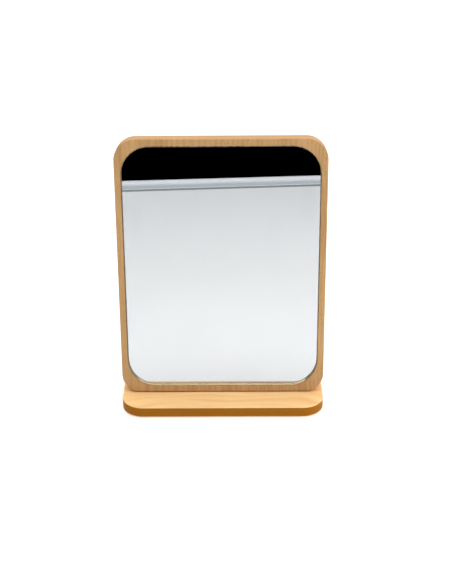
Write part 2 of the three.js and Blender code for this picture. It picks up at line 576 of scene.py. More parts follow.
@dataclass(frozen=True)
class Beech:
    """Lacquered beech: growth rings, fibres, ray flecks, and darker edges, worn along their arrises, with
    painted shade at a board's foot where asked.
    """

    name: str
    to_grain: Matrix  # from the row frame to (along, across, through), in millimetres
    thickness_mm: float
    pale: Colour
    middle: Colour
    deep: Colour
    edge: Colour
    # The fleck colour is also the colour of the painted shade at a board's foot.
    fleck: Colour = (0.20, 0.095, 0.035)
    flecked: float = 0.5  # how strongly the ray flecks show
    banded: float = 1.0  # how strongly the broad bands show
    streaked: float = 0.6  # how strongly the fibres show
    ringed: float = 0.3  # how strongly the growth rings show
    flame: float = 26  # how far the rings wander, in millimetres
    ring_mm: float = 5.5
    pith_mm: tuple[float, float] = (-190, 150)  # across and through the board
    painted_foot_shade_mm: float = 0  # how far up the board the painted shade at its foot reaches, in millimetres along the grain
    seed: float = 0

    def material(self) -> Material:
        """Writes the finish.

        Returns:
            The material.
        """
        surface = Surface(self.name, Specular_IOR_Level=0.12, Coat_Roughness=0.35)
        along, across, through = surface.split(surface.place(self.to_grain))
        tone, fibre, fleck = self._grain(surface, along, across, through)
        side = through.least(self.thickness_mm - through).rise(0.15, 1.0)
        worn = side * (1 - side) * 4
        face = surface.ramp(tone, [(0.1, self.deep), (0.5, self.middle), (0.85, self.pale)])
        face = surface.blend(fleck * self.flecked, face, self.fleck)
        streaked = surface.blend(0.35 + fibre * 0.4, self.edge, face, "MULTIPLY")
        colour = surface.blend(side, face, streaked)
        colour = surface.blend(worn * fibre * 0.3, colour, self.pale)
        # Painted shade: the foot of the board is darkened to the fleck colour, standing in for the shadow
        # in the gap above the base.
        if self.painted_foot_shade_mm:
            colour = surface.blend(along.rise(self.painted_foot_shade_mm, self.painted_foot_shade_mm * 2), self.fleck, colour)
        surface.drive("Base Color", colour)
        surface.drive("Roughness", 0.42 + fibre * 0.12 + fleck * 0.08 + side * 0.08)
        surface.drive("Coat Weight", (1 - side) * 0.16)
        surface.bump(fibre * 0.5 + tone * 0.3 - fleck * 0.5, 0.04 * MM, 0.6)
        return surface.material

    def _grain(self, surface: Surface, along: Wire, across: Wire, through: Wire) -> tuple[Wire, Wire, Wire]:
        """The parts of the figure.

        Args:
            surface: the material being written.
            along: millimetres along the fibres.
            across: millimetres across the board's face.
            through: millimetres below the face.

        Returns:
            The tone, from 0, dark, to 1, pale; noise along the fibres; and the ray flecks.
        """
        drift = surface.noise(surface.vector(along / 110, across / 55 + self.seed, through / 60), 1) - 0.5
        wander = across + drift * self.flame
        u = wander - self.pith_mm[0]
        v = through - self.pith_mm[1]
        rings = ((u * u + v * v).root() / self.ring_mm + self.seed) % 1
        late_wood = rings.rise(0.3, 0.9) * (1 - rings.rise(0.9, 1))
        band = surface.noise(surface.vector(along / 120, wander / 14 + self.seed, through / 14), 2)
        fibre = surface.noise(surface.vector(along / 15, wander * 1.5, through * 1.5 + self.seed), 4, 0.65)
        ray = surface.noise(surface.vector(along / 3.4, across * 1.3 + self.seed, through * 1.3), 1)
        tone = (0.5 + (band - 0.5) * self.banded + (fibre - 0.5) * self.streaked
                - (late_wood - 0.3) * self.ringed)
        return tone, fibre, ray.rise(0.6, 0.7)


@dataclass(frozen=True)
class ClearGlass:
    """The mirror's polished glass, with the faintest smears on its face."""

    name: str = "clear_glass"
    clean: Colour = (0.990, 0.995, 0.993)
    smeared: Colour = (0.970, 0.977, 0.978)

    def material(self) -> Material:
        """Writes the finish.

        Returns:
            The material.
        """
        surface = Surface(self.name, Transmission_Weight=1, IOR=1.52)
        cloud = surface.noise(surface.place(Matrix.Diagonal((40, 40, 14, 1))), 3)
        surface.drive("Base Color", surface.blend(cloud.rise(0.55, 0.8), self.clean, self.smeared))
        surface.drive("Roughness", cloud.rise(0.5, 0.9) * 0.004)
        return surface.material


@dataclass(frozen=True)
class Silver:
    """The silver behind the glass, very slightly uneven."""

    name: str = "mirror_silver"
    bright: Colour = (0.596, 0.611, 0.634)
    dim: Colour = (0.574, 0.588, 0.611)

    def material(self) -> Material:
        """Writes the finish.

        Returns:
            The material.
        """
        surface = Surface(self.name, Metallic=1)
        cloud = surface.noise(surface.place(Matrix.Scale(22, 4)), 2)
        surface.drive("Base Color", surface.blend(cloud, self.bright, self.dim))
        surface.drive("Roughness", cloud * 0.002)
        return surface.material


@dataclass(frozen=True)
class PaintedGlassEdge:
    """A part of the glass's edge, coloured in two tones that change in patches: painted light and shade."""

    name: str
    # The first tone is the lighter and the second the darker; both are painted light and shade: on the
    # arris, patches of painted reflection over the painted shade of the gap round the glass; on the edge, a
    # painted reflection of the wood beside the glass.
    smooth: Colour
    darker_tone: Colour
    metallic: float
    roughness: float
    patch_mm: float
    relief_mm: float

    def material(self) -> Material:
        """Writes the finish.

        Returns:
            The material.
        """
        surface = Surface(self.name, Metallic=self.metallic, IOR=1.52)
        point = surface.place_mm()
        patches = surface.noise(surface.scaled(point, 1 / self.patch_mm), 2)
        grit = surface.noise(surface.scaled(point, 3), 1)
        # Painted light and shade: the colour switches in patches between the two painted tones.
        surface.drive("Base Color", surface.blend(patches.rise(0.44, 0.56), self.smooth, self.darker_tone))
        surface.drive("Roughness", self.roughness + grit * 0.1)
        surface.bump(grit + patches, self.relief_mm * MM)
        return surface.material


@dataclass(frozen=True)
class Metal:
    """A drawn or plated metal with fine scratches one way and a cloudy sheen."""

    name: str
    bright: Colour
    dull: Colour
    scratch_mm: tuple[float, float, float]  # the scratches' size along X, Y and Z
    roughness: float = 0.26
    cloud_mm: float = 5

    def material(self) -> Material:
        """Writes the finish.

        Returns:
            The material.
        """
        surface = Surface(self.name, Metallic=1)
        point = surface.place_mm()
        x, y, z = surface.split(point)
        size = self.scratch_mm
        scratches = surface.noise(surface.vector(x / size[0], y / size[1], z / size[2]), 3, 0.6)
        clouds = surface.noise(surface.scaled(point, 1 / self.cloud_mm), 3)
        dulled = clouds.rise(0.42, 0.7) * 0.7 + scratches * 0.3
        surface.drive("Base Color", surface.blend(dulled, self.bright, self.dull))
        surface.drive("Roughness", self.roughness + scratches * 0.16 + clouds * 0.08)
        surface.bump(scratches, 0.006 * MM, 0.7)
        return surface.material


@dataclass(frozen=True)
class Moulded:
    """Rubber, nylon, foam or paint: a grained skin with dust or pores in it."""

    name: str
    colour: Colour
    dusty: Colour
    grain_mm: float
    relief_mm: float
    roughness: float

    def material(self) -> Material:
        """Writes the finish.

        Returns:
            The material.
        """
        surface = Surface(self.name, Specular_IOR_Level=0.3)
        point = surface.place_mm()
        grain = surface.noise(surface.scaled(point, 1 / self.grain_mm), 2, 0.6)
        dust = surface.noise(surface.scaled(point, 1 / (12 * self.grain_mm)), 3)
        surface.drive("Base Color", surface.blend(dust.rise(0.4, 0.75) * 0.6 + grain * 0.2,
                                                  self.colour, self.dusty))
        surface.drive("Roughness", self.roughness + grain * 0.12)
        surface.bump(grain, self.relief_mm * MM)
        return surface.material


class Finishes:
    """The finishes of the small pieces."""

    NICKEL = Metal("satin_nickel", (0.69, 0.66, 0.61), (0.47, 0.44, 0.40), (7, 0.11, 0.11))
    STEEL = Metal("turned_steel", (0.62, 0.62, 0.61), (0.42, 0.42, 0.42), (0.13, 2.5, 2.5), 0.2)
    ZINC = Metal("bright_zinc", (0.74, 0.74, 0.70), (0.50, 0.51, 0.52), (0.5, 0.5, 0.5), 0.3, 1.6)
    NYLON = Moulded("nylon", (0.76, 0.73, 0.64), (0.62, 0.58, 0.48), 0.5, 0.02, 0.38)
    RUBBER = Moulded("foot_rubber", (0.032, 0.030, 0.028), (0.13, 0.12, 0.11), 0.35, 0.08, 0.74)
    FOAM = Moulded("foam_tape", (0.82, 0.80, 0.74), (0.64, 0.61, 0.54), 0.4, 0.12, 0.8)
    # The arris carries the painted shade of the gap round the glass, with patches of painted reflection;
    # the edge carries a painted reflection of the wood beside the glass, brighter than the shade there.
    ARRIS = PaintedGlassEdge("arris_painted_shade", (0.36, 0.34, 0.27), (0.045, 0.043, 0.03), 0.15, 0.3, 1.6, 0.03)
    EDGE = PaintedGlassEdge("glass_edge_painted_reflection", (0.98, 0.78, 0.48), (0.90, 0.69, 0.41), 0.45, 0.04, 2.4, 0.001)
    BACKING = Moulded("backing_paint", (0.16, 0.19, 0.20), (0.22, 0.24, 0.25), 0.3, 0.02, 0.45)


# ---- boards


class PlateGrower(Grower):
    """Grows a plate: a rounded rectangle of some thickness, all its edges rounded to an arris."""

    WELD = 2e-6  # points nearer to each other than this are joined
    NUDGE = 1e-4  # keeps a quotient that should be whole from being rounded down

    def __init__(self) -> None:
        """Writes the tree."""
        sizes = {"Width": float, "Height": float, "Thickness": float, "Corner Radius": float,
                 "Arris": float, "Corner Steps": int, "Arris Steps": int,
                 "Material": Material}
        super().__init__("rounded_plate", sizes)
        wall = self._wall()
        caps = [self._cap(top) for top in (False, True)]
        joined = self.graph.node("GeometryNodeJoinGeometry")
        for part in (wall, *caps):
            self.tree.links.new(part.socket, joined.inputs[0])
        merged = self.graph.add("GeometryNodeMergeByDistance", {}, {
            "Geometry": Wire(self.graph, joined.outputs[0]), "Distance": self.WELD})
        self.end(merged)

    def _wall(self) -> Wire:
        """The plate's edge and the outer part of both faces.

        A grid is wrapped round the outline. Its columns go round the four corners, and its rows go
        from inside one face, over the arrises and the edge, to inside the other face.

        Returns:
            The geometry.
        """
        g, corner, arris = self.graph, self["Corner Steps"] + 1, self["Arris Steps"]
        columns, rows = corner * 4, arris * 2 + 3
        grid = g.node("GeometryNodeMeshGrid", {}, {
            "Size X": columns, "Size Y": rows, "Vertices X": columns + 1, "Vertices Y": rows + 1})
        x, y, _ = g.split(g.add("GeometryNodeInputPosition"))
        column = (x + columns / 2 + 0.5).floor()
        row = (y + rows / 2 + 0.5).floor()

        quarter = (column / corner + self.NUDGE).floor()
        angle = (quarter + (column - quarter * corner) / self["Corner Steps"]) * (math.pi / 2)
        facing = (quarter + 0.5) * (math.pi / 2)

        step = (row - 1).most(0).least(arris * 2 + 1)
        depth_step = step.least(arris * 2 + 1 - step)
        swing = depth_step / arris * (math.pi / 2)
        depth = self["Arris"] * (1 - swing.cos())
        upper = step > arris + 0.5
        z = depth + upper * (self["Thickness"] - depth * 2)

        inner_row = (row < 0.5) + (row > rows - 0.5)
        inset = self["Arris"] * (1 - swing.sin())
        radius = (self["Corner Radius"] - inset) * (1 - inner_row)
        px = facing.cos().sign() * (self["Width"] / 2 - self["Corner Radius"]) + radius * angle.cos()
        py = facing.sin().sign() * (self["Height"] / 2 - self["Corner Radius"]) + radius * angle.sin()
        return g.add("GeometryNodeSetPosition", {}, {
            "Geometry": Wire(g, grid.outputs["Mesh"]), "Position": g.vector(px, py, z)})

    def _cap(self, top: bool) -> Wire:
        """The middle of one face, between the corners' centres.

        Args:
            top: whether it is the upper face.

        Returns:
            The geometry.
        """
        g = self.graph
        grid = g.node("GeometryNodeMeshGrid", {}, {
            "Size X": self["Width"] - self["Corner Radius"] * 2,
            "Size Y": self["Height"] - self["Corner Radius"] * 2, "Vertices X": 2, "Vertices Y": 2})
        mesh = Wire(g, grid.outputs["Mesh"])
        if not top:
            return g.add("GeometryNodeFlipFaces", {}, {"Mesh": mesh})
        lift = g.vector(0, 0, self["Thickness"])
        return g.add("GeometryNodeSetPosition", {}, {"Geometry": mesh, "Offset": lift})


@dataclass(frozen=True)
class Plate:
    """The sizes of a rounded plate."""

    width: float
    height: float
    thickness: float
    corner_radius: float
    arris: float
    corner_steps: int = 24
    arris_steps: int = 5

    def make(self, grower: PlateGrower, name: str, at: Matrix = HERE) -> Piece:
        """Grows the plate.

        Args:
            grower: the tree that makes plates.
            name: the object's name.
            at: where the middle of the plate's lower face goes.

        Returns:
            The object, with its place in its mesh.
        """
        made = grower.grow(name, {
            "Width": self.width, "Height": self.height, "Thickness": self.thickness,
            "Corner Radius": self.corner_radius, "Arris": self.arris,
            "Corner Steps": self.corner_steps, "Arris Steps": self.arris_steps})
        made.data.transform(at)
        return made


class Repeater(Grower):
    """Grows copies of a mesh in a row of rows, each turned by chance about its own Z."""

    def __init__(self) -> None:
        """Writes the tree."""
        super().__init__("repeater", {
            "Inner Count": int, "Inner Step": Vector, "Outer Count": int, "Outer Step": Vector,
            "Most Turn": float, "Seed": int, "Material": Material})
        g = self.graph
        rows = g.add("GeometryNodeInstanceOnPoints", {},
                     {"Points": self._line("Outer"), "Instance": self._line("Inner")})
        points = g.add("GeometryNodeRealizeInstances", {}, {0: rows})
        turn = g.add("FunctionNodeRandomValue", {"data_type": "FLOAT"},
                     {2: 0.0, 3: self["Most Turn"], "Seed": self["Seed"]}, 1)
        rotation = g.add("FunctionNodeEulerToRotation", {}, {0: g.vector(0, 0, turn)})
        self.end(g.add("GeometryNodeInstanceOnPoints", {}, {
            "Points": points, "Instance": self["Geometry"], "Rotation": rotation}))

    def _line(self, which: str) -> Wire:
        """Points in a row, centred on the origin.

        Args:
            which: "Inner" or "Outer", the inputs that give their number and step.

        Returns:
            The geometry.
        """
        step, count = self[f"{which} Step"], self[f"{which} Count"]
        start = self.graph.scaled(step, (1 - count) / 2)
        return self.graph.add("GeometryNodeMeshLine", {"mode": "OFFSET"},
                              {"Count": count, "Start Location": start, "Offset": step})

    def repeat(self, name: str, piece: Piece, finish: Material,
               inner: tuple[int, Vector], outer: tuple[int, Vector] = (1, Vector()),
               most_turn: float = 0, seed: int = 0) -> Piece:
        """Grows the copies.

        Args:
            name: the new object's name.
            piece: the object to copy, which is removed.
            finish: the copies' material.
            inner: how many copies a row has, and the step between them.
            outer: how many rows there are, and the step between them.
            most_turn: the most that a copy is turned, in radians.
            seed: the seed of the turns.

        Returns:
            An object with all the copies as one mesh.
        """
        made = self.grow(name, {
            "Inner Count": inner[0], "Inner Step": tuple(inner[1]), "Outer Count": outer[0],
            "Outer Step": tuple(outer[1]), "Most Turn": float(most_turn), "Seed": seed,
            "Material": finish}, piece.data)
        bpy.data.objects.remove(piece)
        return made


@dataclass(frozen=True)
class SubAssembly:
    """Pieces that belong together, and the trees that grow them."""

    grower: PlateGrower
    repeater: Repeater


@dataclass(frozen=True)
class BaseBoard(SubAssembly):
    """The flat base and the pads under its corners."""

    corner_radius: float = 24 * MM
    arris: float = 1.0 * MM
    pad_radius: float = 8 * MM
    pad_inset: float = 18 * MM
    pad_steps: int = 48
    pad_hollow: float = 0.15  # its depth, as a part of the pad's height
    pale: Colour = (0.94, 0.635, 0.305)
    middle: Colour = (0.89, 0.565, 0.255)
    deep: Colour = (0.80, 0.465, 0.19)
    edge: Colour = (0.34, 0.147, 0.001)

    def build(self) -> None:
        """Grows the base and its pads and puts them in the place of their CAD nodes."""
        low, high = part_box("base_board")
        thickness = high.z - low.z
        plate = Plate(high.x - low.x, high.y - low.y, thickness, self.corner_radius, self.arris)
        board = plate.make(self.grower, "base_board_wood", Matrix.Translation((0, 0, low.z)))
        set_shading(board)
        # The grain runs along X; "through" is counted down from the upper face.
        axes = Matrix(((1, 0, 0, 0), (0, 1, 0, 0), (0, 0, -1, 0), (0, 0, 0, 1)))
        to_grain = axes @ Matrix.Scale(1 / MM, 4) @ Matrix.Translation((0, 0, -high.z))
        finish = Beech("beech_base", to_grain, thickness / MM, self.pale, self.middle, self.deep,
                       self.edge, flecked=0.1, banded=1.2, streaked=0.5, ringed=0.2, flame=60, ring_mm=8,
                       seed=3)
        dress(board, finish.material())
        stand_for(board, Body.BASE, "beech_base", "base_board")
        step_x = high.x - low.x - 2 * self.pad_inset
        step_y = high.y - low.y - 2 * self.pad_inset
        pads = self.repeater.repeat("foot_pads_rubber", self._pad(low.z), Finishes.RUBBER.material(),
                                    (2, Vector((step_x, 0, 0))), (2, Vector((0, step_y, 0))))
        set_shading(pads)
        corners = [f"foot_pad_{end}_{side}" for end in ("front", "back") for side in SIDES]
        stand_for(pads, Body.BASE, "rubber_pad", *corners)

    def _pad(self, height: float) -> Piece:
        """One pad: a low disc with a rounded rim and a shallow hollow underneath.

        Args:
            height: the pad's height.

        Returns:
            The object, standing on the origin.
        """
        r, hollow = self.pad_radius, height * self.pad_hollow
        # From the hollow, round the rim, to the middle of the top.
        profile = [(0, hollow), (r * 0.68, hollow), (r * 0.74, 0), (r - 0.4 * MM, 0),
                   (r - 0.1 * MM, 0.1 * MM), (r, 0.35 * MM), (r, height - 0.2 * MM),
                   (r - 0.15 * MM, height), (0, height)]
        return turned("pad", profile, self.pad_steps)


@dataclass(frozen=True)
class UprightBoard(SubAssembly):
    """The upright board with its recess, the mirror glass in it and the tape behind the glass."""

    place: Matrix
    width: float = 225 * MM
    height: float = 289 * MM
    thickness: float = 18 * MM
    corner_radius: float = 23 * MM
    arris: float = 1.0 * MM
    margin: float = 6.9 * MM  # from the board's sides to the recess
    recess_height: float = 273.6 * MM
    recess_depth: float = 6 * MM
    recess_radius: float = 30.8 * MM
    recess_rise: float = 0.2 * MM
    foot_clear: float = 0.7 * MM  # planed off the foot, so that the gap above the base shows
    glass_gap: float = 0.3 * MM
    glass_thickness: float = 5 * MM
    glass_arris: float = 0.4 * MM
    coat: float = 0.1 * MM  # the silver and paint behind the glass
    tape_count: int = 3
    tape_size: tuple[float, float, float] = (24 * MM, 226 * MM, 0.8 * MM)
    tape_step: float = 68 * MM
    pale: Colour = (0.575, 0.348, 0.152)
    middle: Colour = (0.487, 0.283, 0.118)
    deep: Colour = (0.374, 0.204, 0.076)
    edge: Colour = (0.74, 0.50, 0.28)

    def _stand(self, behind: float, centre_up: float | None = None) -> Matrix:
        """Stands a plate up in the board.

        Args:
            behind: how far its lower face is behind the mirror's face.
            centre_up: how far its middle is up the board; the recess's middle if left out.

        Returns:
            The plate's place.
        """
        if centre_up is None:
            centre_up = self.height / 2 + self.recess_rise
        up = Matrix.Translation((0, behind, centre_up))
        return self.place @ up @ Matrix.Rotation(math.pi / 2, 4, "X")

    def build(self) -> None:
        """Grows the board, the glass and the tape and puts them in the place of their CAD nodes."""
        self._build_board()
        self._build_glass()
        self._build_tapes()

    def _build_board(self) -> None:
        """Grows the board, planes its foot level with the base and sinks the recess."""
        # The blank is longer by the arris at its foot, so that the planed foot is crisp.
        blank = Plate(self.width, self.height + self.arris, self.thickness, self.corner_radius, self.arris)
        middle = (self.height - self.arris) / 2
        board = blank.make(self.grower, "mirror_board_wood", self._stand(self.thickness, middle))
        plane_off(board, self.place.translation + UP * self.foot_clear, -UP)
        recess = Plate(self.width - 2 * self.margin, self.recess_height, 2 * self.recess_depth,
                       self.recess_radius, arris=0)
        cut(board, recess.make(self.grower, "recess", self._stand(self.recess_depth)))
        set_shading(board, self.place)
        axes = Matrix(((0, 0, 1, 0), (1, 0, 0, 0), (0, 1, 0, 0), (0, 0, 0, 1)))
        to_grain = axes @ Matrix.Scale(1 / MM, 4) @ self.place.inverted()
        # The board's foot gets painted shade, standing in for the shadow in the gap above the base.
        finish = Beech("beech_board", to_grain, self.thickness / MM, self.pale, self.middle, self.deep,
                       self.edge, ringed=0.22, ring_mm=4.2, pith_mm=(-150, 120), painted_foot_shade_mm=0.8, seed=8)
        dress(board, finish.material())
        stand_for(board, Body.PANEL, "beech_board", "mirror_board")

    def _build_glass(self) -> None:
        """Grows the glass, with painted shade and reflection on its arris and edge, and the silver and
        paint behind it.
        """
        depth = self.glass_thickness - self.coat
        size = Plate(self.width - 2 * self.margin - 2 * self.glass_gap,
                     self.recess_height - 2 * self.glass_gap, depth,
                     self.recess_radius - self.glass_gap, self.glass_arris, corner_steps=32,
                     arris_steps=1)
        glass = size.make(self.grower, "mirror_glass_silvered", self._stand(depth))
        # Thinner than the coat, so that a gap of a hair keeps it off the glass.
        layer = replace(size, thickness=self.coat * 0.8, arris=self.coat * 0.1)
        silver = layer.make(self.grower, "silver", self._stand(self.glass_thickness))
        forward = self.place.to_3x3() @ Vector((0, -1, 0))
        # The numbers are slots, in the order of the finishes below.
        for piece, front, arris, edge, back in ((glass, 0, 1, 2, 0), (silver, 3, 4, 4, 4)):
            for face in piece.data.polygons:
                facing = round(face.normal.dot(forward), 3)
                face.use_smooth = False
                slanted = arris if facing > 0 else edge
                face.material_index = {1: front, -1: back}.get(facing, slanted)
        gather(glass, silver)
        # Slots 1 and 2 carry the painted shade and reflection of the arris and the edge.
        dress(glass, *(finish.material() for finish in (
            ClearGlass(), Finishes.ARRIS, Finishes.EDGE, Silver(), Finishes.BACKING)))
        stand_for(glass, Body.PANEL, "silvered_glass", "mirror_glass")

    def _build_tapes(self) -> None:
        """Grows the strips of foam tape, which lie between the glass and the recess's floor."""
        strip = Plate(*self.tape_size, corner_radius=1 * MM, arris=0.15 * MM, corner_steps=4,
                      arris_steps=2)
        piece = strip.make(self.grower, "strip")
        tapes = self.repeater.repeat("mounting_tapes_foam", piece, Finishes.FOAM.material(),
                                     (self.tape_count, Vector((self.tape_step, 0, 0))))
        slack = self.recess_depth - self.glass_thickness - self.tape_size[2]
        tapes.data.transform(self._stand(self.recess_depth - slack / 2, self.height / 2))
        set_shading(tapes, self.place)
        nodes = [f"mounting_tape_{i + 1}" for i in range(self.tape_count)]
        stand_for(tapes, Body.PANEL, "foam_tape", *nodes)


# ---- hinges


@dataclass(frozen=True)
class CountersunkScrew:
    """A countersunk wood screw with a cross recess."""

    head_radius: float = 2.85 * MM
    shank_radius: float = 1.4 * MM
    length: float = 9.9 * MM
    tip: float = 2.5 * MM
    pitch: float = 1.3 * MM
    thread_depth: float = 0.4 * MM
    rim: float = 0.18 * MM
    recess_radius: float = 1.5 * MM
    recess_width: float = 0.62 * MM
    recess_depth: float = 1.15 * MM
    around: int = 28
    rows_per_turn: int = 6

    def build(self) -> Piece:
        """Makes one screw.

        Returns:
            The object, pointing down, with the flat of its head at z = 0.
        """
        neck = self.head_radius - self.shank_radius
        rows = int((self.length - neck) / self.pitch * self.rows_per_turn)
        heights = [-neck - (row + 0.5) / rows * (self.length - neck) for row in range(rows)]
        rings = [[(radius, height)] * self.around for radius, height in (
            (self.head_radius - self.rim, 0), (self.head_radius, -self.rim),
            (self.shank_radius, -neck))]
        rings += [[(self._thread(height, i / self.around), height) for i in range(self.around)]
                  for height in heights]
        return self._cross(self._skin(rings))

    def _thread(self, height: float, turn: float) -> float:
        """How far the thread stands out.

        Args:
            height: the point's height.
            turn: how far round it is, from 0 to 1.

        Returns:
            The radius there.
        """
        taper = min(1, (height + self.length) / self.tip)
        ridge = 1 - abs(2 * ((height / self.pitch + turn) % 1) - 1)
        return taper * (self.shank_radius - self.thread_depth * (1 - ridge * ridge))

    def _skin(self, rings: list[list[tuple[float, float]]]) -> Piece:
        """Skins rings of points.

        Args:
            rings: the (radius, height) points of each ring.

        Returns:
            The object, closed at the head and the tip.
        """
        screw = new_object("screw")
        with reshaped(screw) as shape:
            made = [[shape.verts.new((r * math.cos(a), r * math.sin(a), z))
                     for (r, z), a in zip(ring, self._angles())] for ring in rings]
            for upper, lower in zip(made, made[1:]):
                for i in range(self.around):
                    j = (i + 1) % self.around
                    shape.faces.new((upper[i], lower[i], lower[j], upper[j]))
            shape.faces.new(made[0])
            point = shape.verts.new((0, 0, -self.length))
            for i in range(self.around):
                shape.faces.new((made[-1][i], point, made[-1][(i + 1) % self.around]))
            face_out(shape)
        return screw

    def _angles(self) -> list[float]:
        """The angle of each of a ring's points."""
        return [math.tau * i / self.around for i in range(self.around)]

    def _cross(self, screw: Piece) -> Piece:
        """Cuts the cross recess: two slots that narrow with their depth.

        Args:
            screw: the object, with its head at z = 0.

        Returns:
            The same object.
        """
        top, foot = self.recess_radius, self.recess_radius * 0.4
        slot = [(-top, 0), (-top, self.rim), (top, self.rim), (top, 0),
                (foot, -self.recess_depth), (-foot, -self.recess_depth)]
        for name, angle in (("slot_a", 0), ("slot_b", math.pi / 2)):
            cutter = prism(name, slot, -self.recess_width / 2, self.recess_width / 2)
            cutter.data.transform(Matrix.Rotation(angle, 4, "Z"))
            cut(screw, cutter)
        return screw


@dataclass(frozen=True)
class Hinges(SubAssembly):
    """The two friction hinges behind the board's foot, with their pins, sleeves and screws."""

    tilt: Tilt
    centre: float = 62 * MM  # from the middle of the mirror to the middle of each hinge
    width: float = 40 * MM
    middle_knuckle: float = 16 * MM
    knuckle_gap: float = 0.3 * MM
    knuckle_radius: float = 3.2 * MM
    leaf_thickness: float = 1.6 * MM
    leaf_drop: float = 3.3 * MM  # from the pin to the leaf's underside
    leaf_reach: float = 24 * MM
    leaf_corner: float = 3 * MM
    leaf_arris: float = 0.3 * MM
    eased: float = 0.12 * MM
    tongue: float = 4.4 * MM  # how far a knuckle's strip runs into the plate
    lip: float = math.radians(-28)  # where a knuckle's rolled strip ends
    pin_radius: float = 1.5 * MM
    pin_overhang: float = 0.8 * MM
    sleeve_wall: float = 0.6 * MM
    sleeve_ease: float = 0.1 * MM
    clearance: float = 0.1 * MM
    screw_spacing: float = 24 * MM
    screw_reach: float = 15 * MM
    hole_slack: float = 0.2 * MM
    round_steps: int = 40
    roll_steps: int = 44

    def build(self) -> None:
        """Makes both hinges and puts them in the place of their CAD nodes."""
        nickel, steel = Finishes.NICKEL.material(), Finishes.STEEL.material()
        nylon, zinc = Finishes.NYLON.material(), Finishes.ZINC.material()
        half, inner = self.width / 2, self.middle_knuckle / 2
        outer = inner + self.knuckle_gap
        ends = ((-half, -outer), (outer, half))
        for side, sign in SIDES.items():
            shift = Matrix.Translation((sign * self.centre, 0, 0))
            for body, knuckles, bore in (
                    (Body.BASE, ends, self.pin_radius + self.clearance / 2),
                    (Body.PANEL, ((-inner, inner),),
                     self.pin_radius + self.sleeve_wall + 2 * self.clearance)):
                place = shift @ self._place(body)
                leaf = self._leaf(f"{LEAVES[body]}_{side}_nickel", knuckles, bore)
                leaf.data.transform(place)
                set_shading(leaf, place)
                stand_for(dress(leaf, nickel), body, "nickel_hinge", f"hinge_{LEAVES[body]}_{side}")
            lying = shift @ self._place(Body.BASE) @ Matrix.Rotation(math.pi / 2, 4, "Y")
            stand_for(dress(self._pin(f"pin_{side}_steel", lying), steel), Body.BASE,
                      "steel_pin", f"hinge_pin_{side}")
            stand_for(dress(self._sleeve(f"friction_sleeve_{side}_nylon", lying), nylon),
                      Body.PANEL, "nylon_sleeve", f"hinge_friction_sleeve_{side}")
        self._build_screws(zinc)

    def _place(self, body: Body) -> Matrix:
        """From a leaf's frame to the row frame.

        Args:
            body: the body that the leaf is screwed to.

        Returns:
            The place of a frame with the pin along X, the leaf's reach along Y and the wood below.
        """
        to_pin = Matrix.Translation(self.tilt.pin)
        if body is Body.BASE:
            return to_pin
        up_the_board = Matrix.Rotation(-self.tilt.lean - math.pi / 2, 4, "X")
        return to_pin @ up_the_board @ Matrix.Rotation(math.pi, 4, "Z")

    def _leaf(self, name: str, knuckles: tuple[tuple[float, float], ...], bore: float) -> Piece:
        """One leaf: a plate with rolled knuckles and countersunk holes.

        Args:
            name: the object's name.
            knuckles: each knuckle's start and end along X.
            bore: the radius of the knuckles' bore.

        Returns:
            The leaf, in its own frame.
        """
        plate = Plate(self.width, self.leaf_reach, self.leaf_thickness, self.leaf_corner,
                      self.leaf_arris, corner_steps=10, arris_steps=3)
        middle = Matrix.Translation((0, self.leaf_reach / 2, -self.leaf_drop))
        leaf = plate.make(self.grower, name, middle)
        clear = self.knuckle_radius + self.knuckle_gap
        plane_off(leaf, Vector((0, clear, 0)), Vector((0, -1, 0)))
        for start, end in knuckles:
            knuckle = prism("knuckle", self._rolled(bore), start, end)
            ease_edges(knuckle, self.eased)
            cut(leaf, knuckle, "UNION")
        face = self.leaf_thickness - self.leaf_drop
        for sign in SIDES.values():
            hole = Matrix.Translation((sign * self.screw_spacing / 2, self.screw_reach, face))
            cut(leaf, self._countersink(hole))
        return leaf

    def _rolled(self, bore: float) -> list[tuple[float, float]]:
        """The section of a knuckle: a strip that leaves the plate and rolls round the pin.

        Args:
            bore: the radius of the knuckle's bore.

        Returns:
            The section's (y, z) points.
        """
        under, steps = math.radians(270), self.roll_steps  # the roll starts straight below the pin
        angles = [under + (self.lip - under) * i / steps for i in range(steps + 1)]
        hair = 0.02 * MM  # keeps the strip's faces off the plate's
        outside = [(self.knuckle_radius * math.cos(a), self.knuckle_radius * math.sin(a)) for a in angles]
        inside = [(bore * math.cos(a), bore * math.sin(a)) for a in reversed(angles)]
        return [(self.tongue, hair - self.leaf_drop), *outside, *inside,
                (self.tongue, self.leaf_thickness - self.leaf_drop - hair)]

    def _countersink(self, at: Matrix) -> Piece:
        """The cutter for one screw's hole.

        Args:
            at: the middle of the hole's mouth.

        Returns:
            The object.
        """
        screw = CountersunkScrew()
        head, shank = screw.head_radius + self.hole_slack, screw.shank_radius + self.hole_slack
        deep = 2 * self.leaf_thickness
        over = 1 * MM  # above the leaf, so that the cut is clean
        profile = [(0, -deep), (shank, -deep), (shank, shank - head), (head, 0), (head, over), (0, over)]
        return turned("countersink", profile, self.round_steps, at)

    def _pin(self, name: str, lying: Matrix) -> Piece:
        """One pin, with a low dome at each end.

        Args:
            name: the object's name.
            lying: from a frame with the pin along Z to the row frame.

        Returns:
            The object.
        """
        r, half = self.pin_radius, self.width / 2 + self.pin_overhang
        dome = [(r, 0.62), (r * 0.94, 0.35), (r * 0.8, 0.14), (r * 0.5, 0.03)]  # radius, mm below the top
        end = [(radius, half - below * MM) for radius, below in dome] + [(0, half)]
        return self._lathed(name, [(radius, -height) for radius, height in reversed(end)] + end, lying)

